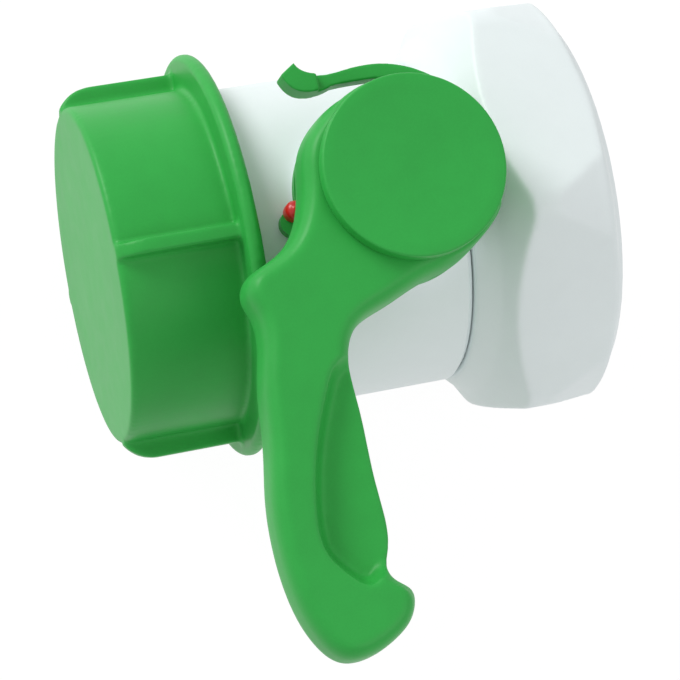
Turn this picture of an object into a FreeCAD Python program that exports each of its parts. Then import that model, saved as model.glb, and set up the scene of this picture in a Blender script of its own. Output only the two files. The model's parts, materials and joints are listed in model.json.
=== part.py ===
import FreeCAD, Part
import math
import os

# Quarter-turn butterfly valve with a screwed dust cap on its outlet and a swivelling
# coupling nut on its tank side. Millimetres, +Z up. The pieces are drawn about the point
# where the stem's axis (Z) crosses the pipe's axis (X), with the outlet on -X, the tank
# side on +X and the handle on top. They are saved about the seat of the tank's gasket.

V = FreeCAD.Vector
X_AXIS = V(1, 0, 0)
Z_AXIS = V(0, 0, 1)

# --- pipe ---------------------------------------------------------------------------
bore_radius = 25.0               # nominal bore, DN50
pipe_wall = 7.0
spigot_wall = 3.2                # outlet wall under its thread
thread_depth = 1.8               # coarse S60x6 thread, outlet and coupling nut
outlet_shoulder_x = -26.0        # where the tube steps down to the threaded outlet
spigot_length = 22.0
edge_break = 0.8                 # small moulded edge chamfers
shoulder_edge = 1.0
cutter_run = 1.0                 # how far a cutting tool runs past the face it cuts

# --- coupling nut on the tank side ---------------------------------------------------
nut_flats = 78.0
nut_length = 28.0
nut_corner_radius = 7.0
nut_corner_angle = 102.5         # one corner, from +Y towards +Z
nut_gap = 0.3                    # nut to the tube's shoulder
nut_shoulder_length = 4.0        # shallow cone behind the nut, up to its steep back
nut_shoulder_rise = 3.8
nut_back_length = 6.0            # steep back, out to the corners
nut_lip_length = 6.5
nut_lip_clearance = 0.4
nut_relief_depth = 0.8           # run-out groove behind the thread
nut_rim_chamfer = 4.0
nut_rim_edge = 1.6
thread_clearance = 0.2
nut_neck_wall = 3.3              # pipe wall inside the nut
snap_height = 1.7                # collar that the nut snaps over
collar_length = 4.2
collar_gap = 0.3
gasket_thickness = 3.0

# --- dust cap ------------------------------------------------------------------------
cap_wall = 2.8
cap_end_wall = 3.3
cap_flange_height = 6.7
cap_flange_length = 3.0
cap_flange_gap = 0.5             # flange to the tube's shoulder
cap_edge_radius = 6.0
cap_rib_height = 3.7
cap_rib_width = 2.8
cap_rib_count = 4
cap_rib_angle = 94.5             # first rib, from +Y towards +Z
cap_rib_corner = 7.5
cap_gasket_thickness = 2.5
cap_gasket_clearance = 0.2

# --- stem, flap and their seals ------------------------------------------------------
stem_radius = 6.0
stem_fit = 0.05                  # running clearance on the radius
slip_fit = 0.05
square_share = 1.4               # driving square across flats, over the stem's radius
lower_bush_wall = 1.9
lower_bush_length = 4.0
lower_bush_step = 1.1            # body between the flap's pocket and the lower bush
end_play = 0.2
flap_edge_gap = 1.0
flap_lip = 1.5
flap_middle = 5.0
flap_boss_wall = 2.8
flap_boss_stand = 0.2            # boss past the bottom of the seal's groove
flap_dish = 2.0                  # radius lost where the disc starts to thicken
flap_rib_width = 2.0
flap_rib_height = 1.6
flap_rib_z = 5.9
flap_pin_radius = 1.5
flap_pin_z = 11.0
seal_width = 4.0
seal_gap = 0.2
seal_groove_depth = 1.4
seal_eye_thickness = 1.4
eye_clearance = 0.2
eye_pocket_clearance = 0.4
o_ring_section = 0.75            # radius of the ring's section
o_ring_count = 2
o_ring_spacing = 4.0
o_ring_drop = 4.0                # first ring below the gland

# --- neck and gland ------------------------------------------------------------------
gland_wall = 3.0
gland_length = 7.0
neck_wall = 4.5
neck_height = 10.0               # above the pad
neck_margin = 1.2                # neck to the tube's shoulder on the tank side
pad_height = 1.0                 # above the tube
pad_margin = 0.3                 # plate's rim past the pad

# --- lock plate, latch and tamper pin ------------------------------------------------
plate_thickness = 2.0
plate_clearance = 0.4
plate_rim = 4.3
stop_width = 20.0                # degrees taken by the turning lug and by each stop post
stop_gap = 1.5                   # degrees left between lug and post at each end of the turn
stop_height = 6.5
stop_wall = 1.4
stop_clearance = 0.6             # post to the hub's skirt
turn_angle = 90.0
plate_screw_radius = 1.2
plate_screw_head = 2.0
plate_screw_head_height = 1.2
plate_screw_depth = 6.0
plate_screw_angles = (150.0, 300.0)
latch_pivot_angle = 45.0
latch_pivot_offset = 0.65        # pivot's distance past the hub
latch_height = 3.8
latch_gap = 0.2
latch_eye_radius = 3.4
latch_pin_radius = 1.3
latch_bar = 2.8                  # thickness of the lever, seen from above
latch_reach_x = -9.0             # where the lever starts to curl outwards
latch_hub_gap = 2.4              # lever to the hub skirt, seen from above
latch_tip_x = -15.6
latch_tip_y = 24.6
latch_tip_height = 5.2
spring_wire = 0.3                # radius of the latch spring's wire
spring_turns = 3
spring_pitch = 0.75
spring_gap = 0.3
seal_pin_offset = 0.9            # pin's distance past the hub
seal_pin_y = -1.2
seal_pin_head = 1.8
seal_pin_dome = 1.1
seal_pin_shank = 1.1
lug_radius = 2.6
lug_y = -3.0

# --- handle --------------------------------------------------------------------------
hub_wall = 2.4
hub_draft = 0.6                  # radius lost from the skirt's foot to its top
hub_lift = 4.5                   # skirt above the lock plate
hub_seat_gap = 0.5               # hub's boss above the neck
hub_boss_radius = 8.5
hub_roof = 3.0
hub_shoulder = 1.4
arm_height = 12.0                # from the skirt's foot to the top of the arm
arm_step = 1.5                   # arm's underside above the skirt's foot
arm_edge = 2.8                   # rounding along the top of the arm, seen from above
arm_crown = 5.0                  # and its height
arm_under_edge = 1.2
cover_margin = 0.7               # hub's shoulder outside the cover
cover_height = 3.5
cover_edge = 1.6
cover_wall = 1.8
cover_skirt = 1.0
cover_skirt_depth = 1.6
washer_radius = 5.0
washer_thickness = 0.8
screw_radius = 2.4
screw_head_radius = 4.2
screw_head_height = 2.6
screw_slot = 1.2
screw_length = 14.0
thumb_x = -34.0                  # point of the thumb rest at the arm's elbow
thumb_y = -16.6
grip_back_x = -37.6
grip_front_x = -17.6
grip_top_y = -28.5
grip_belly_y = -60.0
handle_reach = 84.2
nose_x = -15.2
nose_y = -75.2
rim_width = 7.2                  # the raised J-shaped rim
web_depth = 5.6                  # scooped web under the rim, where it is deepest
web_rise = 0.18                  # slope of the web up to the grip's front edge
web_slope = 2.4                  # how far the web's wall leans in on its way down

# Outline of the arm: (degrees, distance past the hub) round the hub, and then steps in
# x and y from the thumb rest, the grip's back, its tip, the nose and its front edge.
SHOULDER = ((-20, -0.6), (30, -6.0), (80, -4.0), (118, -0.4), (136.3, 0.4), (148.5, 1.0),
            (161, 1.3), (174, 1.3), (187, 2.4), (200.6, 7.9))
THUMB = ((4.0, 4.2), (1.2, 2.5), (0.0, -0.5), (1.0, -4.0), (1.2, -9.4), (-0.2, -15.9))
BACK = ((2.0, 15.8), (0.5, 7.0), (0.0, -2.0), (1.1, -12.2), (3.6, -19.2))
TIP = ((-2.0, 0.4), (2.6, 0.4))
NOSE = ((-5.0, -6.6), (-0.9, -2.8), (-0.4, 1.4), (-2.6, 3.6), (-3.6, 4.8), (-2.9, 9.0))
FRONT = ((0.0, -27.4), (-0.2, -10.0), (0.0, -2.0), (2.2, 2.2), (9.0, 5.6))
THROAT = ((-93, 1.5), (-76, 0.4), (-55, -0.3))
# Outline of the scooped web: steps from the ridge's belly, the nose and the grip's top.
RIDGE = ((7.5, 25.5), (3.0, 14.75), (0.4, 4.0), (0.6, -5.0), (3.4, -9.2), (7.5, -11.8))
SPUR = ((-6.0, 4.2), (6.0, 4.6), (8.0, 15.2))
MOUTH = ((9.4, -6.0), (7.4, 1.0), (2.0, -0.5))

# --- sizes that follow ---------------------------------------------------------------
tube_radius = bore_radius + pipe_wall
root_radius = bore_radius + spigot_wall
thread_radius = root_radius + thread_depth
gland_radius = stem_radius + gland_wall
neck_radius = gland_radius + neck_wall
tank_shoulder_x = neck_radius + neck_margin
spigot_end_x = outlet_shoulder_x - spigot_length
cap_rear_x = outlet_shoulder_x - cap_flange_gap
cap_inner_x = spigot_end_x - cap_gasket_thickness
cap_end_x = cap_inner_x - cap_end_wall
cap_bore_radius = thread_radius + thread_clearance
cap_wall_radius = cap_bore_radius + cap_wall
cap_flange_radius = cap_wall_radius + cap_flange_height
nut_neck_radius = bore_radius + nut_neck_wall
nut_rear_x = tank_shoulder_x + nut_gap
nut_front_x = nut_rear_x + nut_length
nut_lip_x = nut_rear_x + nut_lip_length
nut_bore_radius = thread_radius + thread_clearance
nut_hole_radius = nut_neck_radius + nut_lip_clearance
nut_rim_radius = nut_flats / 2
collar_x = nut_lip_x + collar_gap
collar_radius = nut_neck_radius + snap_height
tank_face_x = collar_x + collar_length
seat_x = tank_face_x + gasket_thickness
bearing_radius = stem_radius + stem_fit
stem_square = square_share * stem_radius
seal_radius = bore_radius - seal_gap
flap_edge_radius = bore_radius - flap_edge_gap
seal_groove_radius = flap_edge_radius - seal_groove_depth
flap_boss_radius = stem_radius + flap_boss_wall
flap_boss_half = seal_groove_radius + flap_boss_stand
eye_top_z = flap_boss_half + seal_eye_thickness
eye_pocket_z = eye_top_z + eye_clearance
eye_pocket_radius = flap_boss_radius + eye_pocket_clearance
bush_bottom_z = -(eye_pocket_z + lower_bush_step + lower_bush_length)
stem_bottom_z = bush_bottom_z + end_play
pad_z = tube_radius + pad_height
neck_top_z = pad_z + neck_height
gland_bottom_z = neck_top_z - gland_length
plate_top_z = pad_z + plate_thickness
plate_inner = neck_radius + plate_clearance
plate_outer = plate_inner + plate_rim
pad_radius = plate_outer - pad_margin
hub_radius = plate_inner + stop_wall + stop_clearance + hub_wall
hub_top_radius = hub_radius - hub_draft
hub_bottom_z = plate_top_z + hub_lift
hub_seat_z = neck_top_z + hub_seat_gap
arm_bottom_z = hub_bottom_z + arm_step
arm_top_z = hub_bottom_z + arm_height
cover_radius = hub_top_radius - cover_margin
latch_z = plate_top_z + latch_gap
latch_pivot_x = (hub_radius + latch_pivot_offset) * math.cos(math.radians(latch_pivot_angle))
latch_pivot_y = (hub_radius + latch_pivot_offset) * math.sin(math.radians(latch_pivot_angle))
seal_pin_x = -hub_radius - seal_pin_offset
washer_z = arm_top_z - cover_skirt_depth - washer_thickness
stem_top_z = washer_z - end_play
groove_radius = stem_radius + stem_fit / 2 - 2 * o_ring_section - slip_fit


def clear_of_nut(shape):
    """The shape without what lies past the tube's shoulder, where the nut turns."""
    side = 2 * nut_flats
    return shape.cut(Part.makeBox(side, side, side, V(tank_shoulder_x, -side / 2, 0)))


def cylinder_x(radius, start, end):
    return Part.makeCylinder(radius, end - start, V(start, 0, 0), X_AXIS)


def cylinder_z(radius, bottom, top, x=0.0, y=0.0):
    return Part.makeCylinder(radius, top - bottom, V(x, y, bottom), Z_AXIS)


def ring_z(outer, inner, bottom, top):
    return cylinder_z(outer, bottom, top).cut(cylinder_z(inner, bottom - cutter_run, top + cutter_run))


def turned_x(profile):
    """Solid of revolution about X from a closed (x, radius) profile."""
    points = [V(x, 0, r) for x, r in profile]
    face = Part.Face(Part.makePolygon(points + points[:1]))
    return face.revolve(V(0, 0, 0), X_AXIS, 360)


def turned_z(profile):
    """Solid of revolution about Z from a closed (radius, z) profile."""
    points = [V(r, 0, z) for r, z in profile]
    face = Part.Face(Part.makePolygon(points + points[:1]))
    return face.revolve(V(0, 0, 0), Z_AXIS, 360)


def sector(outer, inner, bottom, top, middle, width):
    """Part of a ring about Z, centred on an angle and covering a width in degrees."""
    block = Part.makeCylinder(outer, top - bottom, V(0, 0, bottom), Z_AXIS, width)
    block = block.cut(cylinder_z(inner, bottom - cutter_run, top + cutter_run))
    block.rotate(V(0, 0, 0), Z_AXIS, middle - width / 2)
    return block


def polar(radius, degrees):
    angle = math.radians(degrees)
    return radius * math.cos(angle), radius * math.sin(angle)


def spline(points, start=None, end=None):
    """Smooth curve through points, with its end directions where they are given."""
    curve = Part.BSplineCurve()
    if start is None:
        curve.interpolate([V(x, y, 0) for x, y in points])
    else:
        curve.interpolate([V(x, y, 0) for x, y in points], InitialTangent=start, FinalTangent=end)
    return curve.toShape()


def arc(first, middle, last):
    return Part.Arc(V(*first, 0), V(*middle, 0), V(*last, 0)).toShape()


def line(first, last):
    return Part.makeLine(V(*first, 0), V(*last, 0))


def raised(edges, bottom, top):
    """Flat outline in the XY plane, pulled up from one height to another."""
    face = Part.Face(Part.Wire(edges))
    face.translate(V(0, 0, bottom))
    solid = face.extrude(V(0, 0, top - bottom))
    return solid


def edges_at(shape, height):
    """Edges that lie flat at one height."""
    found = []
    for edge in shape.Edges:
        box = edge.BoundBox
        if abs(box.ZMin - height) < 1e-4 and abs(box.ZMax - height) < 1e-4:
            found.append(edge)
    return found


def save(name, shape):
    shape = shape.removeSplitter()
    shape.translate(V(-seat_x, 0, 0))
    if not shape.isValid():
        raise ValueError(name + " is not a valid solid")
    shape.exportStep(os.path.join("parts", name + ".step"))
    print(name, len(shape.Solids), round(shape.Volume), len(shape.Faces))


def valve_body():
    """Pipe with its outlet spigot, the nut's neck and snap collar, and the stem's neck."""
    bevel = snap_height - shoulder_edge / 2
    shell = turned_x([
        (spigot_end_x, 0), (spigot_end_x, root_radius - edge_break),
        (spigot_end_x + edge_break, root_radius), (outlet_shoulder_x, root_radius),
        (outlet_shoulder_x, tube_radius - shoulder_edge),
        (outlet_shoulder_x + shoulder_edge, tube_radius),
        (tank_shoulder_x - shoulder_edge, tube_radius),
        (tank_shoulder_x, tube_radius - shoulder_edge),
        (tank_shoulder_x, nut_neck_radius), (collar_x, nut_neck_radius),
        (collar_x, collar_radius), (tank_face_x - bevel, collar_radius),
        (tank_face_x, collar_radius - bevel), (tank_face_x, 0)])
    neck = cylinder_z(neck_radius, 0, neck_top_z)
    neck = neck.makeChamfer(edge_break, edges_at(neck, neck_top_z))
    pad = clear_of_nut(cylinder_z(pad_radius, 0, pad_z))
    body = shell.fuse([neck, pad])
    eye_pockets = cylinder_z(eye_pocket_radius, -eye_pocket_z, eye_pocket_z)
    bearing = cylinder_z(bearing_radius, 0, neck_top_z + cutter_run)
    gland_seat = cylinder_z(gland_radius + slip_fit, gland_bottom_z, neck_top_z + cutter_run)
    bush_seat = cylinder_z(bearing_radius + lower_bush_wall + slip_fit, bush_bottom_z, 0)
    bore = cylinder_x(bore_radius, spigot_end_x - cutter_run, tank_face_x + cutter_run)
    body = body.cut([bore, eye_pockets, bearing, gland_seat, bush_seat])
    for x, y in plate_screw_places():
        body = body.cut(cylinder_z(plate_screw_radius, plate_top_z - plate_screw_depth,
                                   pad_z + cutter_run, x, y))
    return body


def coupling_nut():
    """Hexagon nut with a bevelled back, a turned rim and the lip that holds it on."""
    flat = nut_flats / 2
    corner = flat / math.cos(math.radians(30))
    outline = [V(nut_rear_x, *polar(corner, nut_corner_angle + 60 * i)) for i in range(6)]
    face = Part.Face(Part.makePolygon(outline + outline[:1]))
    hexagon = face.extrude(V(nut_length, 0, 0))
    long_edges = [e for e in hexagon.Edges if e.BoundBox.XLength > nut_length / 2]
    hexagon = hexagon.makeFillet(nut_corner_radius, long_edges)
    back_x = nut_rear_x + nut_shoulder_length
    turned = turned_x([
        (nut_rear_x, 0), (nut_rear_x, tube_radius), (back_x, tube_radius + nut_shoulder_rise),
        (back_x + nut_back_length, corner), (nut_front_x - nut_rim_chamfer, corner),
        (nut_front_x - nut_rim_edge, nut_rim_radius),
        (nut_front_x, nut_rim_radius - nut_rim_edge), (nut_front_x, 0)])
    inside = turned_x([
        (nut_rear_x - cutter_run, 0), (nut_rear_x - cutter_run, nut_hole_radius),
        (nut_lip_x, nut_hole_radius),
        (nut_lip_x, nut_bore_radius + nut_relief_depth),
        (seat_x - nut_relief_depth, nut_bore_radius + nut_relief_depth),
        (seat_x, nut_bore_radius), (nut_front_x - edge_break, nut_bore_radius),
        (nut_front_x, nut_bore_radius + edge_break),
        (nut_front_x + cutter_run, nut_bore_radius + edge_break), (nut_front_x + cutter_run, 0)])
    return hexagon.common(turned).cut(inside)


def tank_gasket():
    outer = cylinder_x(nut_bore_radius - nut_lip_clearance, tank_face_x, seat_x)
    return outer.cut(cylinder_x(bore_radius, tank_face_x - cutter_run, seat_x + cutter_run))


def dust_cap():
    """Cap with a grip flange at its mouth and four ribs that round over the end."""
    flange_x = cap_rear_x - cap_flange_length
    shell = turned_x([
        (cap_end_x, 0), (cap_end_x, cap_wall_radius), (flange_x, cap_wall_radius),
        (flange_x, cap_flange_radius - edge_break), (flange_x + edge_break, cap_flange_radius),
        (cap_rear_x - edge_break, cap_flange_radius),
        (cap_rear_x, cap_flange_radius - edge_break), (cap_rear_x, 0)])
    end_edge = [e for e in shell.Edges if abs(e.BoundBox.XMax - cap_end_x) < 1e-4]
    shell = shell.makeFillet(cap_edge_radius, end_edge)
    ribs = []
    for index in range(cap_rib_count):
        rib = cap_rib()
        rib.rotate(V(0, 0, 0), X_AXIS, cap_rib_angle - 90 + 360.0 * index / cap_rib_count)
        ribs.append(rib)
    inside = turned_x([
        (cap_rear_x + cutter_run, 0), (cap_rear_x + cutter_run, cap_bore_radius + edge_break),
        (cap_rear_x, cap_bore_radius + edge_break), (cap_rear_x - edge_break, cap_bore_radius),
        (cap_inner_x, cap_bore_radius), (cap_inner_x, 0)])
    return shell.fuse(ribs).cut(inside)


def cap_rib():
    """One rib standing up along +Z, with a round outer corner at the cap's end."""
    top = cap_wall_radius + cap_rib_height
    foot = cap_wall_radius - cap_wall / 2
    length = cap_rear_x - cap_flange_length / 2 - cap_end_x
    block = Part.makeBox(length, cap_rib_width, top, V(cap_end_x, -cap_rib_width / 2, 0))
    corner = [e for e in block.Edges
              if abs(e.BoundBox.XMax - cap_end_x) < 1e-4 and abs(e.BoundBox.ZMin - top) < 1e-4]
    block = block.makeFillet(cap_rib_corner, corner)
    return block.cut(Part.makeBox(length, cap_rib_width, foot - cap_edge_radius,
                                  V(cap_end_x, -cap_rib_width / 2, 0)))


def cap_gasket():
    outer = cylinder_x(cap_bore_radius - cap_gasket_clearance, cap_inner_x, spigot_end_x)
    return outer.cut(cylinder_x(bore_radius, cap_inner_x - cutter_run, spigot_end_x + cutter_run))


def stem():
    """Round shaft with two ring grooves, a square driving end and a screw hole."""
    shaft = cylinder_z(stem_radius, stem_bottom_z, hub_seat_z)
    square = Part.makeBox(stem_square, stem_square, stem_top_z - hub_seat_z,
                          V(-stem_square / 2, -stem_square / 2, hub_seat_z))
    shaft = shaft.fuse(square)
    for z in o_ring_heights():
        half = o_ring_section + slip_fit
        shaft = shaft.cut(ring_z(stem_radius + cutter_run, groove_radius, z - half, z + half))
    screw_hole = cylinder_z(screw_radius + slip_fit, washer_z - screw_length, stem_top_z + cutter_run)
    shaft = shaft.cut(screw_hole)
    return shaft.cut(flap_pin_holes(slip_fit))


def o_ring_heights():
    return [gland_bottom_z - o_ring_drop - index * o_ring_spacing
            for index in range(o_ring_count)]


def stem_o_rings():
    rings = []
    middle = groove_radius + slip_fit + o_ring_section
    for z in o_ring_heights():
        rings.append(Part.makeTorus(middle, o_ring_section, V(0, 0, z), Z_AXIS))
    return Part.makeCompound(rings)


def gland_bush():
    """Upper bearing, pressed into the neck over the rings."""
    outer = cylinder_z(gland_radius, gland_bottom_z + slip_fit, neck_top_z)
    return outer.cut(cylinder_z(bearing_radius, gland_bottom_z - cutter_run, neck_top_z + cutter_run))


def lower_bush():
    outer_radius = bearing_radius + lower_bush_wall
    top = bush_bottom_z + lower_bush_length
    outer = cylinder_z(outer_radius, bush_bottom_z, top)
    return outer.cut(cylinder_z(bearing_radius, bush_bottom_z - cutter_run, top + cutter_run))


def flap_pin_holes(clearance):
    reach = flap_boss_radius + cutter_run
    holes = [Part.makeCylinder(flap_pin_radius + clearance, 2 * reach, V(-reach, 0, z), X_AXIS)
             for z in (-flap_pin_z, flap_pin_z)]
    return holes[0].fuse(holes[1])


def flap_pins():
    reach = flap_boss_radius - edge_break
    pins = [Part.makeCylinder(flap_pin_radius, 2 * reach, V(-reach, 0, z), X_AXIS)
            for z in (-flap_pin_z, flap_pin_z)]
    return Part.makeCompound(pins)


def flap():
    """Butterfly disc with a boss for the stem, a seal groove and stiffening ribs."""
    half_rim = seal_width / 2 + flap_lip
    groove = seal_width / 2 + slip_fit
    reach = flap_edge_radius - flap_dish
    disc = turned_x([
        (-flap_middle, 0), (-flap_middle, flap_boss_radius), (-half_rim, reach),
        (-half_rim, flap_edge_radius), (-groove, flap_edge_radius), (-groove, seal_groove_radius),
        (groove, seal_groove_radius), (groove, flap_edge_radius), (half_rim, flap_edge_radius),
        (half_rim, reach), (flap_middle, flap_boss_radius), (flap_middle, 0)])
    boss = cylinder_z(flap_boss_radius, -flap_boss_half, flap_boss_half)
    depth = flap_middle + flap_rib_height
    ribs = []
    for z in (-flap_rib_z, flap_rib_z):
        half = math.sqrt(reach ** 2 - z ** 2) - flap_dish
        ribs.append(Part.makeBox(2 * depth, 2 * half, flap_rib_width,
                                 V(-depth, -half, z - flap_rib_width / 2)))
    disc = disc.fuse([boss] + ribs)
    keep_in = cylinder_x(flap_edge_radius - flap_edge_gap, -flap_boss_radius, flap_boss_radius)
    rim = cylinder_x(flap_edge_radius, -half_rim, half_rim)
    disc = disc.common(keep_in.fuse(rim))
    eye = flap_boss_radius + slip_fit
    disc = disc.cut([cylinder_z(eye, flap_boss_half, bore_radius),
                     cylinder_z(eye, -bore_radius, -flap_boss_half),
                     cylinder_z(stem_radius + stem_fit / 2, -flap_edge_radius, flap_edge_radius)])
    return disc.cut(flap_pin_holes(slip_fit))


def flap_seal():
    """Rubber ring in the flap's groove, with a flat eye round the stem at each pole."""
    ring = cylinder_x(seal_radius, -seal_width / 2, seal_width / 2)
    seal = ring.fuse(cylinder_z(flap_boss_radius, -eye_top_z, eye_top_z))
    core = cylinder_x(seal_groove_radius + slip_fit, -flap_boss_radius, flap_boss_radius)
    outside = cylinder_z(flap_boss_radius + slip_fit, -flap_boss_half, flap_boss_half)
    shaft_hole = cylinder_z(bearing_radius, -eye_top_z - cutter_run, eye_top_z + cutter_run)
    return seal.cut([core, outside, shaft_hole])


def plate_screw_places():
    return [polar((plate_inner + plate_outer) / 2, a) for a in plate_screw_angles]


def lock_plate():
    """Ring on the neck's pad, with the stop posts, the latch's ear and the seal's lug."""
    plate = clear_of_nut(cylinder_z(plate_outer, pad_z, plate_top_z))
    ear = cylinder_z(latch_eye_radius, pad_z, plate_top_z, latch_pivot_x, latch_pivot_y)
    lug = cylinder_z(lug_radius, pad_z, plate_top_z + latch_gap, seal_pin_x, lug_y)
    tongue = Part.makeBox(-seal_pin_x, 2 * lug_radius, plate_thickness,
                          V(seal_pin_x, lug_y - lug_radius, pad_z))
    plate = plate.fuse([ear, lug, tongue])
    lug_front = stop_width + stop_gap
    stops = [sector(plate_inner + stop_wall, plate_inner, plate_top_z - edge_break,
                    plate_top_z + stop_height, middle, stop_width)
             for middle in (90 + lug_front, 90 - turn_angle - lug_front)]
    plate = plate.fuse(stops).cut(cylinder_z(plate_inner, pad_z - cutter_run, neck_top_z))
    holes = [cylinder_z(plate_screw_radius, pad_z - cutter_run, plate_top_z + cutter_run, x, y)
             for x, y in plate_screw_places()]
    holes.append(cylinder_z(latch_pin_radius, pad_z - cutter_run, plate_top_z + cutter_run,
                            latch_pivot_x, latch_pivot_y))
    holes.append(cylinder_z(seal_pin_shank, pad_z - cutter_run, plate_top_z + cutter_run,
                            seal_pin_x, seal_pin_y))
    return plate.cut(holes)


def plate_screws():
    screws = []
    for x, y in plate_screw_places():
        shank = cylinder_z(plate_screw_radius - slip_fit, plate_top_z - plate_screw_depth,
                           plate_top_z, x, y)
        head = cylinder_z(plate_screw_head, plate_top_z,
                          plate_top_z + plate_screw_head_height, x, y)
        screws.append(shank.fuse(head))
    return Part.makeCompound(screws)


def tamper_pin():
    """Domed pin that seals the plate's lug."""
    seat_z = plate_top_z + latch_gap
    shank = cylinder_z(seal_pin_shank - slip_fit, pad_z - edge_break, seat_z,
                       seal_pin_x, seal_pin_y)
    room = hub_bottom_z - 2 * latch_gap - seat_z
    head = cylinder_z(seal_pin_head, seat_z, seat_z + room, seal_pin_x, seal_pin_y)
    head = head.makeFillet(seal_pin_dome, edges_at(head, seat_z + room))
    return shank.fuse(head)


def latch_lever():
    """Finger lever that follows the hub from its pivot and curls out into a ribbed tip."""
    inner = hub_radius + latch_hub_gap
    outer = inner + latch_bar
    pivot_angle = math.degrees(math.atan2(latch_pivot_y, latch_pivot_x))
    halfway = (pivot_angle + 90) / 2
    bend_y = inner - latch_bar / 4
    tip_in = (latch_tip_x - latch_bar / 2, latch_tip_y - latch_bar / 3)
    tip_out = (latch_tip_x + latch_bar / 2, latch_tip_y + latch_bar / 3)
    heel = (latch_reach_x - latch_bar, bend_y - latch_bar / 8)
    root_in = polar(inner - latch_bar / 2, pivot_angle)
    root_out = polar(inner + latch_bar / 2, pivot_angle)
    outline = [
        arc(root_out, polar(outer - latch_bar / 6, halfway), (0, outer)),
        spline([(0, outer), (latch_reach_x, bend_y + latch_bar), tip_out],
               V(-1, 0, 0), V(-0.4, 1, 0)),
        line(tip_out, tip_in),
        spline([tip_in, heel, (latch_reach_x, bend_y), (0, inner)], V(0.3, -1, 0), V(1, 0, 0)),
        arc((0, inner), polar(inner - latch_bar / 6, halfway), root_in),
        line(root_in, root_out)]
    bar = raised(outline, latch_z, latch_z + latch_height)
    tall = raised(outline, latch_z, latch_z + latch_tip_height)
    beyond = Part.makeBox(hub_radius, 2 * hub_radius, latch_tip_height,
                          V(latch_reach_x - latch_bar / 2 - hub_radius, 0, latch_z))
    eye = cylinder_z(latch_eye_radius, latch_z, latch_z + latch_height,
                     latch_pivot_x, latch_pivot_y)
    lever = bar.fuse([tall.common(beyond), eye])
    pin_hole = cylinder_z(latch_pin_radius + slip_fit, latch_z - cutter_run,
                          latch_z + latch_height + cutter_run, latch_pivot_x, latch_pivot_y)
    spring_room = cylinder_z(latch_pin_radius + 2 * (spring_gap + spring_wire), latch_z - cutter_run,
                             latch_z + (spring_turns + 1) * spring_pitch,
                             latch_pivot_x, latch_pivot_y)
    return lever.cut([pin_hole, spring_room])


def latch_spring():
    """Small torsion spring round the latch's pin, in the lever's counterbore."""
    radius = latch_pin_radius + spring_gap + spring_wire
    coil = Part.makeHelix(spring_pitch, spring_turns * spring_pitch, radius)
    section = Part.Wire(Part.makeCircle(spring_wire, V(radius, 0, 0), V(0, 1, 0)))
    spring = Part.Wire(coil).makePipeShell([section], True, True)
    spring.translate(V(latch_pivot_x, latch_pivot_y, latch_z + spring_wire + spring_gap / 2))
    return spring


def latch_pin():
    return cylinder_z(latch_pin_radius, pad_z, latch_z + latch_height,
                      latch_pivot_x, latch_pivot_y)


def closed_spline(points, height, rise=0.0):
    """Closed smooth curve, flat at a height or rising along +X from the grip's back."""
    curve = Part.BSplineCurve()
    curve.interpolate(Points=[V(x, y, height + rise * (x - grip_back_x - rim_width))
                              for x, y in points], PeriodicFlag=True)
    return Part.Wire(curve.toShape())


def inset(points, distance):
    """The points of a closed outline, each moved inwards (outlines run anticlockwise)."""
    moved = []
    for index, (x, y) in enumerate(points):
        before = points[index - 1]
        after = points[(index + 1) % len(points)]
        dx, dy = after[0] - before[0], after[1] - before[1]
        length = math.hypot(dx, dy)
        moved.append((x - distance * dy / length, y + distance * dx / length))
    return moved


def crowned(points, bottom, top, under_edge, edge, crown):
    """Solid on a closed outline, with its upper and lower edges rounded over."""
    levels = [(under_edge, bottom), (0.3 * under_edge, bottom + 0.6 * under_edge),
              (0.0, bottom + 1.6 * under_edge), (0.0, top - crown)]
    for degrees in (30, 60, 90):
        angle = math.radians(degrees)
        levels.append((edge * (1 - math.cos(angle)), top - crown * (1 - math.sin(angle))))
    wires = [closed_spline(inset(points, distance), height) for distance, height in levels]
    return Part.makeLoft(wires, True, False)


def steps_from(x, y, steps):
    return [(x + dx, y + dy) for dx, dy in steps]


def round_hub(steps):
    return [polar(hub_radius + distance, degrees) for degrees, distance in steps]


def grip_outline():
    """Arm and grip seen from above, anticlockwise from the hub's tank side."""
    tip_x = (grip_back_x + grip_front_x) / 2
    return (round_hub(SHOULDER) + steps_from(thumb_x, thumb_y, THUMB)
            + steps_from(grip_back_x, grip_belly_y, BACK)
            + steps_from(tip_x, -handle_reach, TIP) + steps_from(nose_x, nose_y, NOSE)
            + steps_from(grip_front_x, grip_top_y, FRONT) + round_hub(THROAT))


def scoop_outline():
    """Outline of the scooped web: a J-shaped ridge, open along the grip's front edge."""
    return (steps_from(grip_back_x + rim_width, grip_belly_y, RIDGE)
            + steps_from(nose_x, nose_y, SPUR) + steps_from(grip_front_x, grip_top_y, MOUTH))


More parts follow.
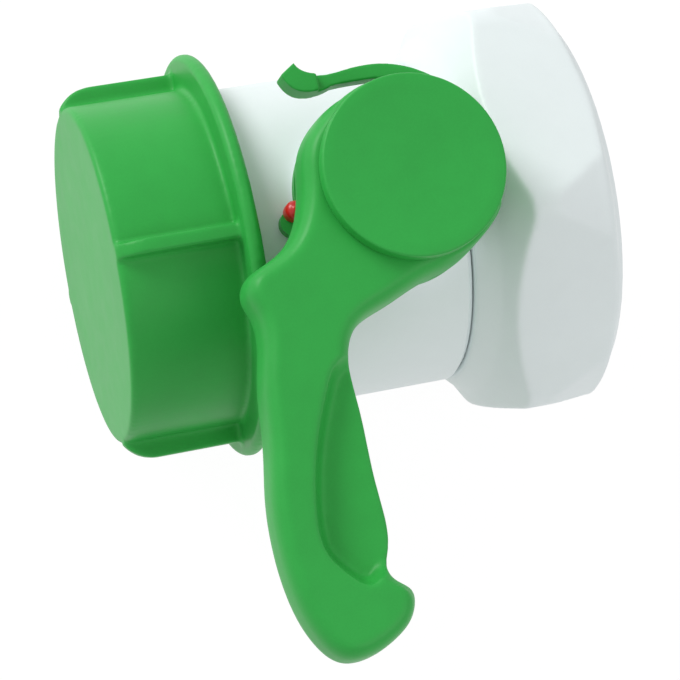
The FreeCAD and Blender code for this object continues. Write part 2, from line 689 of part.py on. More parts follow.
def handle():
    """Hollow hub with a square socket, and the arm with its scooped grip."""
    arm = crowned(grip_outline(), arm_bottom_z, arm_top_z, arm_under_edge, arm_edge, arm_crown)
    skirt = turned_z([
        (0, hub_bottom_z), (hub_radius, hub_bottom_z), (hub_top_radius, arm_top_z),
        (0, arm_top_z)])
    skirt = skirt.makeFillet(hub_shoulder, edges_at(skirt, arm_top_z))
    scoop_points = scoop_outline()
    floor = closed_spline(inset(scoop_points, web_slope), arm_top_z - web_depth, web_rise)
    middle = closed_spline(inset(scoop_points, web_slope / 3), arm_top_z - web_depth / 2,
                           web_rise / 2)
    rim = closed_spline(scoop_points, arm_top_z)
    above = closed_spline(inset(scoop_points, -web_slope / 2), arm_top_z + 2 * cutter_run)
    scoop = Part.makeLoft([floor, middle, rim, above], True, False)
    roof_z = arm_top_z - hub_roof
    hollow = cylinder_z(hub_radius - hub_wall, hub_bottom_z - cutter_run, roof_z)
    boss = cylinder_z(hub_boss_radius, hub_seat_z, roof_z)
    side = stem_square + 2 * slip_fit
    socket = Part.makeBox(side, side, washer_z - hub_seat_z + 2 * cutter_run,
                          V(-side / 2, -side / 2, hub_seat_z - cutter_run))
    pocket = cylinder_z(washer_radius + 2 * slip_fit, washer_z, arm_top_z + cutter_run)
    inner = cover_radius - cover_wall
    groove = ring_z(inner + slip_fit, inner - cover_skirt - slip_fit,
                    arm_top_z - cover_skirt_depth - slip_fit, arm_top_z + cutter_run)
    stop_lug = sector(hub_radius - hub_wall + edge_break, plate_inner + slip_fit,
                      hub_bottom_z + edge_break, roof_z + edge_break, 90, stop_width)
    hub = skirt.cut([hollow.cut(boss), pocket, groove]).fuse(stop_lug)
    arm = arm.cut([scoop, cylinder_z(hub_radius - hub_wall, hub_bottom_z, roof_z),
                   cylinder_z(cover_radius, roof_z, arm_top_z + cutter_run)])
    return arm.fuse(hub).cut(socket)


def hub_cover():
    top = arm_top_z + cover_height
    cover = cylinder_z(cover_radius, arm_top_z, top)
    cover = cover.makeFillet(cover_edge, edges_at(cover, top))
    inner = cover_radius - cover_wall
    rim = ring_z(inner, inner - cover_skirt, arm_top_z - cover_skirt_depth, arm_top_z + cutter_run)
    room = cylinder_z(inner - cover_skirt, arm_top_z - cutter_run, top - cover_wall)
    return cover.fuse(rim).cut(room)


def handle_washer():
    return ring_z(washer_radius, screw_radius + slip_fit, washer_z, washer_z + washer_thickness)


def handle_screw():
    head_z = washer_z + washer_thickness
    shank = cylinder_z(screw_radius, washer_z - screw_length + cutter_run, head_z)
    head = cylinder_z(screw_head_radius, head_z, head_z + screw_head_height)
    head = head.makeFillet(screw_head_height / 2, edges_at(head, head_z + screw_head_height))
    slot = Part.makeBox(2 * screw_head_radius, screw_slot, screw_slot,
                        V(-screw_head_radius, -screw_slot / 2,
                          head_z + screw_head_height - screw_slot))
    return shank.fuse(head).cut(slot)


PIECES = [valve_body, coupling_nut, tank_gasket, dust_cap, cap_gasket, stem, stem_o_rings,
          gland_bush, lower_bush, flap, flap_pins, flap_seal, lock_plate, plate_screws,
          tamper_pin, latch_lever, latch_pin, latch_spring, handle, hub_cover, handle_washer,
          handle_screw]

os.makedirs("parts", exist_ok=True)
for piece in PIECES:
    save(piece.__name__, piece())
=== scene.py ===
import json
import math

import bpy
from bpy.props import FloatProperty, FloatVectorProperty, IntProperty, PointerProperty
from bpy.types import Operator, Panel, PropertyGroup
from mathutils import Matrix, Vector

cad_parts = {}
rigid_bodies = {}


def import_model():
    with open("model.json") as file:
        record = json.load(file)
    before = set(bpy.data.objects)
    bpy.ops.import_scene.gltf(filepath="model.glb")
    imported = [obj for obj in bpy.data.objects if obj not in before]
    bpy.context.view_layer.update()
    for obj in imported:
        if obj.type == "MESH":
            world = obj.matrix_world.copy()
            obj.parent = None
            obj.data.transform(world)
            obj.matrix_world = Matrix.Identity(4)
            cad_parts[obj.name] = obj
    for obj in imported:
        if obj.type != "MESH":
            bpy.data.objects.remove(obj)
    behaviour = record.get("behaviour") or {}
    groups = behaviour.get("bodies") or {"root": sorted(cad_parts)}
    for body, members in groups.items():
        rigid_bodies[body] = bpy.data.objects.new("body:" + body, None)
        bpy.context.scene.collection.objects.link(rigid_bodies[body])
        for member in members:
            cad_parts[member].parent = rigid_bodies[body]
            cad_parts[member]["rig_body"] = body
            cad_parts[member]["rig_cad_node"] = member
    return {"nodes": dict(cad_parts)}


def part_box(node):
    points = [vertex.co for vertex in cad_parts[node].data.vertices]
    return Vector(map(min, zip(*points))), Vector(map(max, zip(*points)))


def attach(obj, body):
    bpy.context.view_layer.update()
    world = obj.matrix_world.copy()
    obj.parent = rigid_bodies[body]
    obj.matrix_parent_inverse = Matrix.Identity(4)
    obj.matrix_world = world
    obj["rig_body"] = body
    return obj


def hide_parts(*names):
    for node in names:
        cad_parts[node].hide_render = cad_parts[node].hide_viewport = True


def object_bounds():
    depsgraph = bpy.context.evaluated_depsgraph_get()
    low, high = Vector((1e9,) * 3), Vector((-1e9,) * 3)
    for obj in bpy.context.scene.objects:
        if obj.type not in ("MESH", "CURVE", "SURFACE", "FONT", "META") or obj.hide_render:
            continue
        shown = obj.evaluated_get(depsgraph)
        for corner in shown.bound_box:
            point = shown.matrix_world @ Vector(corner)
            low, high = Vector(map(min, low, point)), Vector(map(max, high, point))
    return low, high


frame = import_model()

bl_info = {
    "name": "Tank outlet valve",
    "version": (1, 0, 0),
    "blender": (4, 5, 0),
    "location": "View3D > Sidebar > Valve",
    "description": "Moulded plastic butterfly valve with its dust cap and coupling nut",
    "category": "Object",
}

NODES = frame["nodes"]
for stray in [o for o in bpy.data.objects if o.type != "EMPTY" and o.name not in NODES]:
    bpy.data.objects.remove(stray)
CAD_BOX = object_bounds()
MM = 0.001
CAP_END = -81.6 * MM
CAP_WALL = 33.0 * MM
X_AXIS = Vector((1, 0, 0))
Z_AXIS = Vector((0, 0, 1))


# --- sizes and colours ----------------------------------------------------------------

def size(name, description, millimetres):
    return FloatProperty(name=name, description=description, default=millimetres * MM,
                         min=0, unit="LENGTH", precision=5)


def colour(name, description, rgb):
    return FloatVectorProperty(name=name, description=description, default=rgb,
                               min=0, max=1, size=3, subtype="COLOR")


class ValveSizes(PropertyGroup):
    """Sizes of what is modelled here, beyond the solids of the frame."""
    large_step: size("Large moulding step", "Mesh step on the cap and the nut", 0.5)
    handle_step: size("Handle step", "Mesh step on the handle", 0.4)
    small_step: size("Small moulding step", "Mesh step on the latch and the plate", 0.24)
    edge_passes: IntProperty(name="Edge passes", description="Rounding passes on moulded edges",
                             default=5, min=0, max=60)
    thread_pitch: size("Thread pitch", "Advance of the coarse thread in one turn", 6.0)
    thread_foot: size("Thread foot", "Width of a thread ridge where it stands", 3.2)
    thread_crest: size("Thread crest", "Width of a thread ridge at its top", 1.3)
    thread_run_out: FloatProperty(name="Run-out", description="Part of a turn over which a "
                                  "thread fades in and out", default=0.18, min=0.02, max=0.5)
    cover_edge: size("Cover edge", "Rounding of the hub cover's rim", 1.3)
    cover_sink: size("Cover sink", "Depth of the shallow dish in the hub cover", 0.15)
    cap_end_edge: size("Cap end edge", "Rounding between the cap's end and its wall", 1.1)
    nut_front_radius: size("Nut front", "Radius of the flat ring on the nut's front", 37.0)
    nut_front_rounding: size("Nut front rounding", "Rounding round the nut's front", 4.5)
    bead: size("Gasket bead", "Height of the raised beads on the tank gasket", 0.5)


class ValveColours(PropertyGroup):
    """Base colours of the materials, in linear light."""
    green: colour("Green", "Handle, cap, latch and lock plate", (0.029, 0.382, 0.060))
    white: colour("White", "Body and coupling nut", (0.822, 0.890, 0.896))
    rubber: colour("Rubber", "Gaskets and rings", (0.018, 0.018, 0.019))
    grey: colour("Grey", "Flap and stem", (0.30, 0.31, 0.32))
    red: colour("Red", "Tamper pin", (0.62, 0.015, 0.012))
    steel: colour("Steel", "Screws, pins and spring", (0.56, 0.57, 0.58))


# --- modelling helpers ------------------------------------------------------------------

def select_only(*pieces):
    if bpy.context.object and bpy.context.object.mode != "OBJECT":
        bpy.ops.object.mode_set(mode="OBJECT")
    bpy.ops.object.select_all(action="DESELECT")
    for piece in pieces:
        piece.select_set(True)
    bpy.context.view_layer.objects.active = pieces[0] if pieces else None


def in_edit_mode(piece):
    select_only(piece)
    bpy.ops.object.mode_set(mode="EDIT")
    bpy.ops.mesh.select_mode(type="VERT")
    bpy.ops.mesh.select_all(action="SELECT")


def leave_edit_mode():
    bpy.ops.object.mode_set(mode="OBJECT")
    return bpy.context.object


def named(piece, name):
    piece.name = name
    piece.data.name = name
    return piece


def settled(piece):
    """Puts the piece's place into its mesh, so that its object is at the origin."""
    select_only(piece)
    bpy.ops.object.transform_apply(location=True, rotation=True, scale=True)
    return piece


def modified(piece, kind, **settings):
    """Adds one modifier with its settings and applies it."""
    select_only(piece)
    modifier = piece.modifiers.new(kind.title(), kind)
    for key, value in settings.items():
        setattr(modifier, key, value)
    bpy.ops.object.modifier_apply(modifier=modifier.name)
    return piece


def cad_copy(node, name):
    """A merged copy of a solid of the frame, free to be reshaped."""
    source = NODES[node]
    select_only(source)
    bpy.ops.object.duplicate()
    piece = bpy.context.object
    if piece == source:
        raise RuntimeError("no copy was made of " + node)
    bpy.ops.object.parent_clear(type="CLEAR_KEEP_TRANSFORM")
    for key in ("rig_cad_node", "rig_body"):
        if key in piece:
            del piece[key]
    named(piece, name)
    in_edit_mode(piece)
    bpy.ops.mesh.remove_doubles(threshold=0.002 * MM)
    leave_edit_mode()
    return piece


def remoulded(piece, step, passes):
    """Rebuilds the skin on an even grid and rounds its edges as a mould does."""
    modified(piece, "REMESH", mode="VOXEL", voxel_size=step, use_smooth_shade=True)
    if passes:
        modified(piece, "SMOOTH", factor=0.5, iterations=passes)
    return piece


def turned_piece(name, outline, axis, centre=(0, 0, 0), steps=96, side=None):
    """Spins a closed outline of (radius, place along the axis) pairs into a body."""
    centre = Vector(centre)
    side = side or (X_AXIS if axis.z else Z_AXIS)
    points = [centre + side * radius + axis * along for radius, along in outline]
    select_only()
    bpy.ops.mesh.primitive_plane_add(size=MM, location=(0, 0, 0))
    piece = bpy.context.object
    in_edit_mode(piece)
    bpy.ops.mesh.merge(type="CENTER")
    bpy.ops.transform.translate(value=points[0])
    for before, after in zip(points, points[1:]):
        bpy.ops.mesh.extrude_region_move(TRANSFORM_OT_translate={"value": after - before})
    bpy.ops.mesh.select_all(action="SELECT")
    bpy.ops.mesh.spin(steps=steps, angle=2 * math.pi, center=centre, axis=axis)
    bpy.ops.mesh.select_all(action="SELECT")
    bpy.ops.mesh.remove_doubles(threshold=0.005 * MM)
    bpy.ops.mesh.normals_make_consistent(inside=False)
    leave_edit_mode()
    return settled(named(piece, name))


def smooth_shaded(piece, degrees=35):
    select_only(piece)
    bpy.ops.object.shade_smooth_by_angle(angle=math.radians(degrees))
    return piece


def rounded(piece, width, segments=3, degrees=30):
    modified(piece, "BEVEL", width=width, segments=segments, limit_method="ANGLE",
             angle_limit=math.radians(degrees), use_clamp_overlap=True)
    return smooth_shaded(piece)


def joined(name, *pieces):
    select_only(*pieces)
    bpy.ops.object.join()
    return named(bpy.context.object, name)


def screw_places(node):
    """Middles of the separate screws in a node, found from their heads."""
    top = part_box(node)[1].z
    heads = []
    for vertex in NODES[node].data.vertices:
        if vertex.co.z < top - 0.01 * MM:
            continue
        for head in heads:
            if (head[0] - vertex.co).length < 6 * MM:
                head.append(vertex.co)
                break
        else:
            heads.append([vertex.co])
    return [sum(((Vector([min(c[i] for c in head) for i in range(3)])),
                 (Vector([max(c[i] for c in head) for i in range(3)]))), Vector()) / 2
            for head in heads]


def helix(name, foot_radius, crest_radius, start, end):
    """A coarse thread ridge round the X axis, right-handed, that fades out at both ends."""
    sizes = bpy.context.scene.valve_sizes
    turns = (end - start) / sizes.thread_pitch
    foot, crest = sizes.thread_foot / 2, sizes.thread_crest / 2
    section = [(start - foot, foot_radius), (start - crest, crest_radius),
               (start + crest, crest_radius), (start + foot, foot_radius)]
    select_only()
    bpy.ops.mesh.primitive_plane_add(size=MM, location=(0, 0, 0))
    piece = bpy.context.object
    in_edit_mode(piece)
    bpy.ops.mesh.merge(type="CENTER")
    bpy.ops.transform.translate(value=(section[0][0], 0, section[0][1]))
    for (x, r), (x_next, r_next) in zip(section, section[1:]):
        bpy.ops.mesh.extrude_region_move(
            TRANSFORM_OT_translate={"value": (x_next - x, 0, r_next - r)})
    bpy.ops.mesh.select_all(action="SELECT")
    bpy.ops.mesh.edge_face_add()
    bpy.ops.mesh.delete(type="ONLY_FACE")
    leave_edit_mode()
    settled(named(piece, name))
    modified(piece, "SCREW", axis="X", angle=2 * math.pi * turns,
             screw_offset=sizes.thread_pitch * turns, steps=int(72 * turns),
             render_steps=int(72 * turns), use_merge_vertices=False, use_smooth_shade=True)
    fade = sizes.thread_run_out * sizes.thread_pitch
    for vertex in piece.data.vertices:
        place = vertex.co
        turned = math.atan2(-place.y, place.z) / (2 * math.pi)
        along = (place.x - start) / sizes.thread_pitch - turned
        advance = (round(along) + turned) * sizes.thread_pitch
        room = min(advance, end - start - advance)
        height = max(0.0, min(1.0, room / fade))
        radius = math.hypot(place.y, place.z)
        wanted = foot_radius + (radius - foot_radius) * height * (2 - height)
        place.y *= wanted / radius
        place.z *= wanted / radius
    in_edit_mode(piece)
    bpy.ops.mesh.select_all(action="DESELECT")
    bpy.ops.mesh.select_non_manifold(extend=False, use_wire=False, use_boundary=True,
                                     use_multi_face=False, use_non_contiguous=False,
                                     use_verts=False)
    bpy.ops.mesh.fill_holes(sides=0)
    bpy.ops.mesh.select_all(action="SELECT")
    bpy.ops.mesh.normals_make_consistent(inside=False)
    leave_edit_mode()
    return smooth_shaded(piece, 30)


def rides(piece, body, slot, material, *nodes):
    """Gives a finished piece its material, its body and the solids that it stands for."""
    if not len(piece.data.polygons):
        raise RuntimeError(piece.name + " has no faces")
    piece.data.materials.clear()
    piece.data.materials.append(material)
    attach(piece, body)
    if nodes:
        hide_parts(*nodes)
    return piece


# --- materials -----------------------------------------------------------------------------

def new_group(name, inputs, outputs):
    group = bpy.data.node_groups.new(name, "ShaderNodeTree")
    for label, kind, value in inputs:
        socket = group.interface.new_socket(name=label, in_out="INPUT", socket_type=kind)
        socket.default_value = value
    for label, kind in outputs:
        group.interface.new_socket(name=label, in_out="OUTPUT", socket_type=kind)
    return group


def node(tree, kind, **settings):
    made = tree.nodes.new(kind)
    for key, value in settings.items():
        setattr(made, key, value)
    return made


def noise(tree, vector, scale, detail=3.0, roughness=0.55):
    made = node(tree, "ShaderNodeTexNoise")
    tree.links.new(vector, made.inputs["Vector"])
    made.inputs["Detail"].default_value = detail
    made.inputs["Roughness"].default_value = roughness
    if isinstance(scale, float):
        made.inputs["Scale"].default_value = scale
    else:
        tree.links.new(scale, made.inputs["Scale"])
    return made.outputs["Fac"]


def maths(tree, operation, *values, clamp=False):
    made = node(tree, "ShaderNodeMath", operation=operation, use_clamp=clamp)
    for socket, value in zip(made.inputs, values):
        if isinstance(value, (int, float)):
            socket.default_value = value
        else:
            tree.links.new(value, socket)
    return made.outputs[0]


def moulded_skin():
    """Group: cloudy tone, fine speckle, gloss that varies and a faint skin texture."""
    found = bpy.data.node_groups.get("moulded_skin")
    if found:
        return found
    colour_socket, number = "NodeSocketColor", "NodeSocketFloat"
    group = new_group("moulded_skin", [
        ("Tint", colour_socket, (0.5, 0.5, 0.5, 1)), ("Cloud", number, 0.08),
        ("Cloud Scale", number, 60.0), ("Speckle", number, 0.04),
        ("Roughness", number, 0.4), ("Roughness Spread", number, 0.08)],
        [("Colour", colour_socket), ("Roughness", number), ("Height", number)])
    give = node(group, "NodeGroupInput").outputs
    place = node(group, "ShaderNodeTexCoord").outputs["Object"]
    cloud = noise(group, place, give["Cloud Scale"], 4.0)
    patch = noise(group, place, maths(group, "MULTIPLY", give["Cloud Scale"], 5.0), 2.0)
    speck = noise(group, place, 2600.0, 1.0)
    shift = maths(group, "MULTIPLY", maths(group, "SUBTRACT", cloud, 0.5), give["Cloud"])
    minor = maths(group, "MULTIPLY", maths(group, "SUBTRACT", patch, 0.5),
                  maths(group, "MULTIPLY", give["Cloud"], 0.5))
    dots = maths(group, "MULTIPLY", maths(group, "SUBTRACT", speck, 0.5), give["Speckle"])
    total = maths(group, "ADD", maths(group, "ADD", shift, minor), dots)
    level = maths(group, "ADD", maths(group, "MULTIPLY", total, 2.0), 1.0)
    tone = node(group, "ShaderNodeVectorMath", operation="SCALE")
    group.links.new(give["Tint"], tone.inputs[0])
    group.links.new(level, tone.inputs["Scale"])
    gloss = maths(group, "ADD", give["Roughness"], maths(
        group, "MULTIPLY", maths(group, "SUBTRACT", patch, 0.5), give["Roughness Spread"]),
        clamp=True)
    take = node(group, "NodeGroupOutput").inputs
    group.links.new(tone.outputs[0], take["Colour"])
    group.links.new(gloss, take["Roughness"])
    group.links.new(maths(group, "ADD", maths(group, "MULTIPLY", patch, 0.6),
                          maths(group, "MULTIPLY", speck, 0.4)), take["Height"])
    return group


def material(name, rgb, cloud, cloud_scale, speckle, roughness, spread, bump,
             metallic=0.0, coat=0.0, coat_roughness=0.2, specular=0.5):
    found = bpy.data.materials.get(name)
    if found:
        return found
    made = bpy.data.materials.new(name)
    made.use_nodes = True
    tree = made.node_tree
    shader = tree.nodes["Principled BSDF"]
    skin = node(tree, "ShaderNodeGroup", node_tree=moulded_skin())
    for label, value in (("Tint", (*rgb, 1)), ("Cloud", cloud), ("Cloud Scale", cloud_scale),
                         ("Speckle", speckle), ("Roughness", roughness),
                         ("Roughness Spread", spread)):
        skin.inputs[label].default_value = value
    raise_skin = node(tree, "ShaderNodeBump")
    raise_skin.inputs["Strength"].default_value = 1.0
    raise_skin.inputs["Distance"].default_value = bump * MM
    tree.links.new(skin.outputs["Colour"], shader.inputs["Base Color"])
    tree.links.new(skin.outputs["Roughness"], shader.inputs["Roughness"])
    tree.links.new(skin.outputs["Height"], raise_skin.inputs["Height"])
    tree.links.new(raise_skin.outputs["Normal"], shader.inputs["Normal"])
    shader.inputs["Metallic"].default_value = metallic
    shader.inputs["Coat Weight"].default_value = coat
    shader.inputs["Coat Roughness"].default_value = coat_roughness
    shader.inputs["Specular IOR Level"].default_value = specular
    return made


def green_plastic():
    return material("green_polypropylene", bpy.context.scene.valve_colours.green,
                    0.10, 45.0, 0.05, 0.42, 0.10, 0.012, specular=0.25)


def white_plastic():
    return material("white_polyethylene", bpy.context.scene.valve_colours.white,
                    0.03, 40.0, 0.01, 0.45, 0.08, 0.010)


def black_rubber():
    return material("black_rubber", bpy.context.scene.valve_colours.rubber,
                    0.20, 90.0, 0.10, 0.62, 0.12, 0.020)


def grey_plastic():
    return material("grey_polypropylene", bpy.context.scene.valve_colours.grey,
                    0.08, 60.0, 0.05, 0.45, 0.10, 0.014)


def red_plastic():
    return material("red_polypropylene", bpy.context.scene.valve_colours.red,
                    0.10, 160.0, 0.05, 0.30, 0.08, 0.008)


def bright_steel():
    return material("bright_steel", bpy.context.scene.valve_colours.steel,
                    0.10, 220.0, 0.05, 0.30, 0.12, 0.004, metallic=1.0)


# --- pieces -----------------------------------------------------------------------------------

class VALVE_OT_frame_finishes(Operator):
    """Dress the small inner solids, which keep their shape, in their own materials"""
    bl_idname = "valve.frame_finishes"
    bl_label = "Frame finishes"

    def execute(self, context):
        finishes = {
            white_plastic: ("valve_body", "gland_bush", "lower_bush"),
            black_rubber: ("cap_gasket", "stem_o_rings", "flap_seal"),
            grey_plastic: ("stem", "flap"),
            green_plastic: ("lock_plate",),
            bright_steel: ("flap_pins", "handle_washer", "handle_screw", "latch_pin",
                           "latch_spring"),
        }
        for finish, names in finishes.items():
            for name in names:
                NODES[name].data.materials.clear()
                NODES[name].data.materials.append(finish())
        return {"FINISHED"}


class VALVE_OT_outlet_thread(Operator):
    """Coarse thread ridge on the outlet"""
    bl_idname = "valve.outlet_thread"
    bl_label = "Outlet thread"

    def execute(self, context):
        thread = helix("outlet_thread_ridge", 28.15 * MM, 30 * MM, -75.4 * MM, -58.5 * MM)
        rides(thread, "valve", "white_hdpe", white_plastic())
        return {"FINISHED"}


class VALVE_OT_tank_gasket(Operator):
    """Flat gasket with two raised beads on its sealing face"""
    bl_idname = "valve.tank_gasket"
    bl_label = "Tank gasket"

    def execute(self, context):
        bead = context.scene.valve_sizes.bead
        low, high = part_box("tank_gasket")
        inner, outer = 25.0 * MM, high.y
        third = (outer - inner) / 7
        outline = [(inner, low.x), (outer, low.x), (outer, -bead),
                   (outer - third, -bead), (outer - 1.5 * third, 0), (outer - 2 * third, 0),
                   (outer - 2.5 * third, -bead), (inner + 2.5 * third, -bead),
                   (inner + 2 * third, 0), (inner + 1.5 * third, 0),
                   (inner + third, -bead), (inner, -bead), (inner, low.x)]
        piece = rounded(turned_piece("tank_gasket_ring", outline, X_AXIS), 0.12 * MM, 2)
        rides(piece, "valve", "black_rubber", black_rubber(), "tank_gasket")
        return {"FINISHED"}


class VALVE_OT_hub_cover(Operator):
    """Round cover with a softened rim and a very shallow dish"""
    bl_idname = "valve.hub_cover"
    bl_label = "Hub cover"

    def execute(self, context):
        sizes = context.scene.valve_sizes
        low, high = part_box("hub_cover")
        radius = (high.x - low.x) / 2
        seat = 51.5 * MM
        skirt = 15.2 * MM
        dish = high.z - sizes.cover_sink
        outline = [(0, high.z - 1.8 * MM), (skirt - 1.0 * MM, high.z - 1.8 * MM),
                   (skirt - 1.0 * MM, low.z), (skirt, low.z), (skirt, seat), (radius, seat),
                   (radius, high.z), (radius - 2.6 * MM, high.z), (radius - 3.4 * MM, dish),
                   (0, dish)]
        piece = turned_piece("hub_cover_disc", outline, Z_AXIS, ((low.x + high.x) / 2, 0, 0), 128)
        rounded(piece, sizes.cover_edge, 5, 60)
        rides(piece, "drive", "green_pp", green_plastic(), "hub_cover")
        return {"FINISHED"}


class VALVE_OT_plate_screws(Operator):
    """Two pan-head screws with cross recesses that hold the lock plate"""
    bl_idname = "valve.plate_screws"
    bl_label = "Plate screws"

    def execute(self, context):
        pieces = []
        low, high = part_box("plate_screws")
        seat, shank, head = high.z - 1.2 * MM, 1.15 * MM, 2.0 * MM
        outline = [(0, low.z), (shank * 0.5, low.z), (shank, low.z + 0.8 * MM), (shank, seat),
                   (head, seat), (head, seat + 0.45 * MM), (head * 0.82, seat + 0.9 * MM),
                   (head * 0.5, high.z), (0, high.z)]
        places = screw_places("plate_screws")
        for index, place in enumerate(places):
            piece = turned_piece("plate_screw_%d" % index, outline, Z_AXIS,
                                 (place.x, place.y, 0), 40)
            for turn in (25, 115):
                select_only()
                bpy.ops.mesh.primitive_cube_add(size=1, location=(place.x, place.y, high.z),
                                                rotation=(0, 0, math.radians(turn + 40 * index)))
                slot = bpy.context.object
                slot.scale = (2.3 * MM, 0.5 * MM, 1.3 * MM)
                settled(slot)
                modified(piece, "BOOLEAN", operation="DIFFERENCE", object=slot, solver="EXACT")
                bpy.data.objects.remove(slot)
            pieces.append(smooth_shaded(piece, 30))
        screws = joined("plate_screw_pair", *pieces)
        rides(screws, "valve", "steel", bright_steel(), "plate_screws")
        return {"FINISHED"}


class VALVE_OT_tamper_pin(Operator):
    """Red pin with a domed head and the stub of its moulding gate"""
    bl_idname = "valve.tamper_pin"
    bl_label = "Tamper pin"

    def execute(self, context):
        low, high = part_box("tamper_pin")
        centre = ((low.x + high.x) / 2, (low.y + high.y) / 2, 0)
        head = (high.x - low.x) / 2
        shank = 1.05 * MM
        seat = 35.2 * MM
        dome = [(head * math.cos(a), high.z - 0.25 * MM - head * (1 - math.sin(a)) * 0.8)
                for a in [math.radians(15 * step) for step in range(6)]]
        outline = ([(0, low.z), (shank * 0.7, low.z), (shank, low.z + 0.5 * MM), (shank, seat),
                    (head, seat)] + dome + [(0.45 * MM, high.z - 0.28 * MM),
                                            (0.35 * MM, high.z), (0, high.z)])
        piece = smooth_shaded(turned_piece("tamper_pin_moulding", outline, Z_AXIS, centre, 48))
        rides(piece, "valve", "red_plastic", red_plastic(), "tamper_pin")
        return {"FINISHED"}


class VALVE_OT_latch(Operator):
    """Mould the finger lever of the latch and the small ribs on its tip"""
    bl_idname = "valve.latch"
    bl_label = "Latch"

    def execute(self, context):
        sizes = context.scene.valve_sizes
        piece = cad_copy("latch_lever", "latch_moulding")
        remoulded(piece, sizes.small_step, 4)
        rides(piece, "latch", "green_pp", green_plastic(), "latch_lever")
        return {"FINISHED"}


class VALVE_OT_handle(Operator):
    """Mould the handle with its rounded rim and scooped grip"""
    bl_idname = "valve.handle"
    bl_label = "Handle"

    def execute(self, context):
        sizes = context.scene.valve_sizes
        piece = cad_copy("handle", "handle_moulding")
        remoulded(piece, sizes.handle_step, 2 * sizes.edge_passes)
        rides(piece, "drive", "green_pp", green_plastic(), "handle")
        return {"FINISHED"}


class VALVE_OT_dust_cap(Operator):
    """Mould the dust cap with its ribs and grip flange"""
    bl_idname = "valve.dust_cap"
    bl_label = "Dust cap"

    def execute(self, context):
        sizes = context.scene.valve_sizes
        piece = cad_copy("dust_cap", "dust_cap_moulding")
        in_edit_mode(piece)
        bpy.ops.mesh.bisect(plane_co=(CAP_END, 0, 0), plane_no=X_AXIS, use_fill=True,
                            clear_inner=True)
        leave_edit_mode()
        outline = [(0, CAP_END), (CAP_WALL, CAP_END), (CAP_WALL, CAP_END + 7 * MM),
                   (CAP_WALL - 2 * MM, CAP_END + 7 * MM), (CAP_WALL - 2 * MM, CAP_END + 2 * MM),
                   (0, CAP_END + 2 * MM)]
        plate = rounded(turned_piece("cap_end", outline, X_AXIS, steps=128),
                        sizes.cap_end_edge, 4, 60)
        piece = joined("dust_cap_moulding", piece, plate)
        remoulded(piece, sizes.large_step, sizes.edge_passes)
        rides(piece, "cap", "green_pp", green_plastic(), "dust_cap")
        shift = sizes.thread_pitch / 2
        thread = helix("cap_thread_ridge", 30.3 * MM, 28.6 * MM, -75.4 * MM + shift,
                       -60.5 * MM + shift)
        rides(thread, "cap", "green_pp", green_plastic())
        return {"FINISHED"}


class VALVE_OT_coupling_nut(Operator):
    """Mould the coupling nut with its soft corners"""
    bl_idname = "valve.coupling_nut"
    bl_label = "Coupling nut"

    def execute(self, context):
        sizes = context.scene.valve_sizes
        piece = cad_copy("coupling_nut", "coupling_nut_moulding")
        low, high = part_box("coupling_nut")
        rim, arc = sizes.nut_front_radius, sizes.nut_front_rounding
        front = high.x + 0.02 * MM
        clear, waist, waist_radius = 50 * MM, -4 * MM, 45 * MM
        outline = [(0, low.x - MM), (clear, low.x - MM), (clear, waist), (waist_radius, waist)]
        outline += [(rim + arc * math.cos(a), front - arc + arc * math.sin(a))
                    for a in [math.radians(15 * step) for step in range(7)]]
        outside = turned_piece("nut_outside", outline + [(0, front)], X_AXIS, steps=128)
        modified(piece, "BOOLEAN", operation="INTERSECT", object=outside, solver="EXACT")
        bpy.data.objects.remove(outside)
        remoulded(piece, sizes.large_step, 2 * sizes.edge_passes)
        rides(piece, "nut", "white_hdpe", white_plastic(), "coupling_nut")
        thread = helix("nut_thread_ridge", 30.3 * MM, 28.5 * MM, 2.2 * MM, 11.0 * MM)
        rides(thread, "nut", "white_hdpe", white_plastic())
        return {"FINISHED"}


# --- stage --------------------------------------------------------------------------------------

def background_mix(tree, seen, lit):
    """Shader that shows one side to the camera and to reflections, and lights with the other."""
    path = node(tree, "ShaderNodeLightPath").outputs
    seen_rays = maths(tree, "MAXIMUM", maths(tree, "MAXIMUM", path["Is Camera Ray"],
                                             path["Is Glossy Ray"]), path["Is Transmission Ray"])
    mix = node(tree, "ShaderNodeMixShader")
    tree.links.new(seen_rays, mix.inputs[0])
    tree.links.new(lit, mix.inputs[1])
    tree.links.new(seen, mix.inputs[2])
    return mix.outputs[0]


def soft_lamp(name, place, target, power, width):
    lamp = bpy.data.lights.new(name, "AREA")
    lamp.energy = power
    lamp.size = width
    lamp.shape = "DISK"
    made = bpy.data.objects.new(name, lamp)
    bpy.context.scene.collection.objects.link(made)
    made.location = place
    made.rotation_mode = "QUATERNION"
    made.rotation_quaternion = (Vector(target) - Vector(place)).to_track_quat("-Z", "Y")
    return made


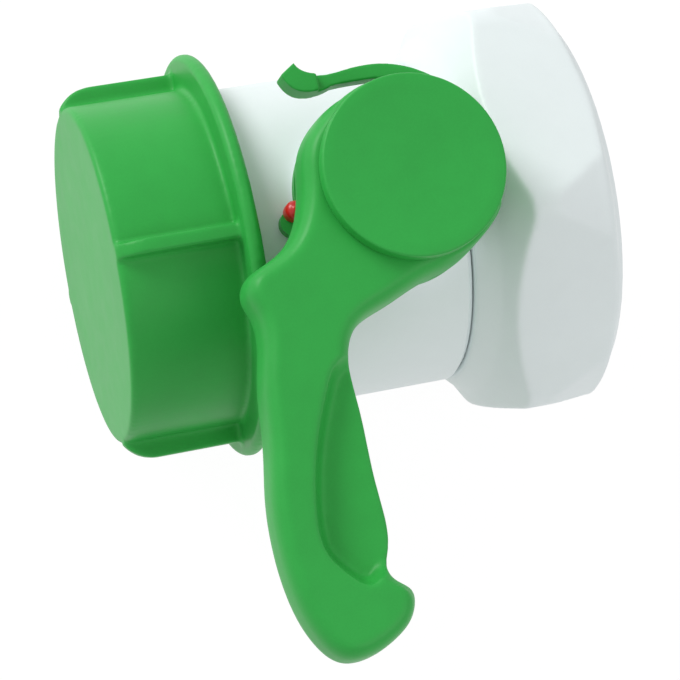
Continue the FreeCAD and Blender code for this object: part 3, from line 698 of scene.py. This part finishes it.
class VALVE_OT_stage(Operator):
    """Set out the floor, the soft lights and the camera"""
    bl_idname = "valve.stage"
    bl_label = "Stage"

    def execute(self, context):
        scene = context.scene
        scene.view_settings.view_transform = "Standard"
        world = bpy.data.worlds.new("studio")
        scene.world = world
        world.use_nodes = True
        tree = world.node_tree
        tree.nodes.clear()
        lit = node(tree, "ShaderNodeBackground")
        lit.inputs["Color"].default_value = (1, 1, 1, 1)
        lit.inputs["Strength"].default_value = 0.58
        seen = node(tree, "ShaderNodeBackground")
        seen.inputs["Color"].default_value = (1, 1, 1, 1)
        seen.inputs["Strength"].default_value = 1.0
        out = node(tree, "ShaderNodeOutputWorld")
        tree.links.new(background_mix(tree, seen.outputs[0], lit.outputs[0]), out.inputs["Surface"])

        select_only()
        bpy.ops.mesh.primitive_plane_add(size=6, location=(0, 0, CAD_BOX[0].z - 0.2 * MM))
        floor = settled(named(bpy.context.object, "floor"))
        paint = bpy.data.materials.new("floor_white")
        paint.use_nodes = True
        tree = paint.node_tree
        tree.nodes.clear()
        matt = node(tree, "ShaderNodeBsdfDiffuse")
        matt.inputs["Color"].default_value = (0.9, 0.9, 0.9, 1)
        glow = node(tree, "ShaderNodeEmission")
        glow.inputs["Strength"].default_value = 1.05
        share = node(tree, "ShaderNodeMixShader")
        share.inputs[0].default_value = 0.90
        tree.links.new(matt.outputs[0], share.inputs[1])
        tree.links.new(glow.outputs[0], share.inputs[2])
        out = node(tree, "ShaderNodeOutputMaterial")
        tree.links.new(background_mix(tree, share.outputs[0], matt.outputs[0]), out.inputs["Surface"])
        floor.data.materials.append(paint)

        right = Vector((0.95503, -0.21046, 0.20886)).normalized()
        up = Vector((0.17230, 0.96718, 0.18672)).normalized()
        back = right.cross(up)
        middle = Vector((-0.030, -0.020, 0.010))
        soft_lamp("key", middle + (right * -0.7 + up * 0.8 + back * 0.5) * 0.9, middle, 6.2, 0.5)
        soft_lamp("fill", middle + (right * 0.7 + up * -0.2 + back * 0.7) * 1.1, middle, 1.8, 0.7)

        lens = bpy.data.cameras.new("camera")
        lens.lens = 141.06
        lens.sensor_width = 36.0
        lens.clip_start, lens.clip_end = 0.01, 20.0
        camera = bpy.data.objects.new("camera", lens)
        scene.collection.objects.link(camera)
        axes = Matrix((right, up, back)).transposed().to_4x4()
        camera.matrix_world = Matrix.Translation((-0.162156, -0.095418, 0.503256)) @ axes
        scene.camera = camera
        return {"FINISHED"}


STEPS = (VALVE_OT_frame_finishes, VALVE_OT_outlet_thread, VALVE_OT_tank_gasket,
         VALVE_OT_handle, VALVE_OT_hub_cover, VALVE_OT_latch, VALVE_OT_plate_screws,
         VALVE_OT_tamper_pin, VALVE_OT_dust_cap, VALVE_OT_coupling_nut, VALVE_OT_stage)


class VALVE_PT_steps(Panel):
    bl_idname = "VALVE_PT_steps"
    bl_label = "Tank outlet valve"
    bl_space_type = "VIEW_3D"
    bl_region_type = "UI"
    bl_category = "Valve"

    def draw(self, context):
        for group in (context.scene.valve_sizes, context.scene.valve_colours):
            for key in group.bl_rna.properties.keys():
                if key not in ("rna_type", "name"):
                    self.layout.prop(group, key)
        for step in STEPS:
            self.layout.operator(step.bl_idname)


CLASSES = (ValveSizes, ValveColours, *STEPS, VALVE_PT_steps)


def register():
    for cls in CLASSES:
        bpy.utils.register_class(cls)
    bpy.types.Scene.valve_sizes = PointerProperty(type=ValveSizes)
    bpy.types.Scene.valve_colours = PointerProperty(type=ValveColours)


def unregister():
    del bpy.types.Scene.valve_sizes
    del bpy.types.Scene.valve_colours
    for cls in reversed(CLASSES):
        bpy.utils.unregister_class(cls)


def main():
    register()
    for step in STEPS:
        group, call = step.bl_idname.split(".")
        getattr(getattr(bpy.ops, group), call)()
    select_only()


if __name__ == "__main__":
    main()
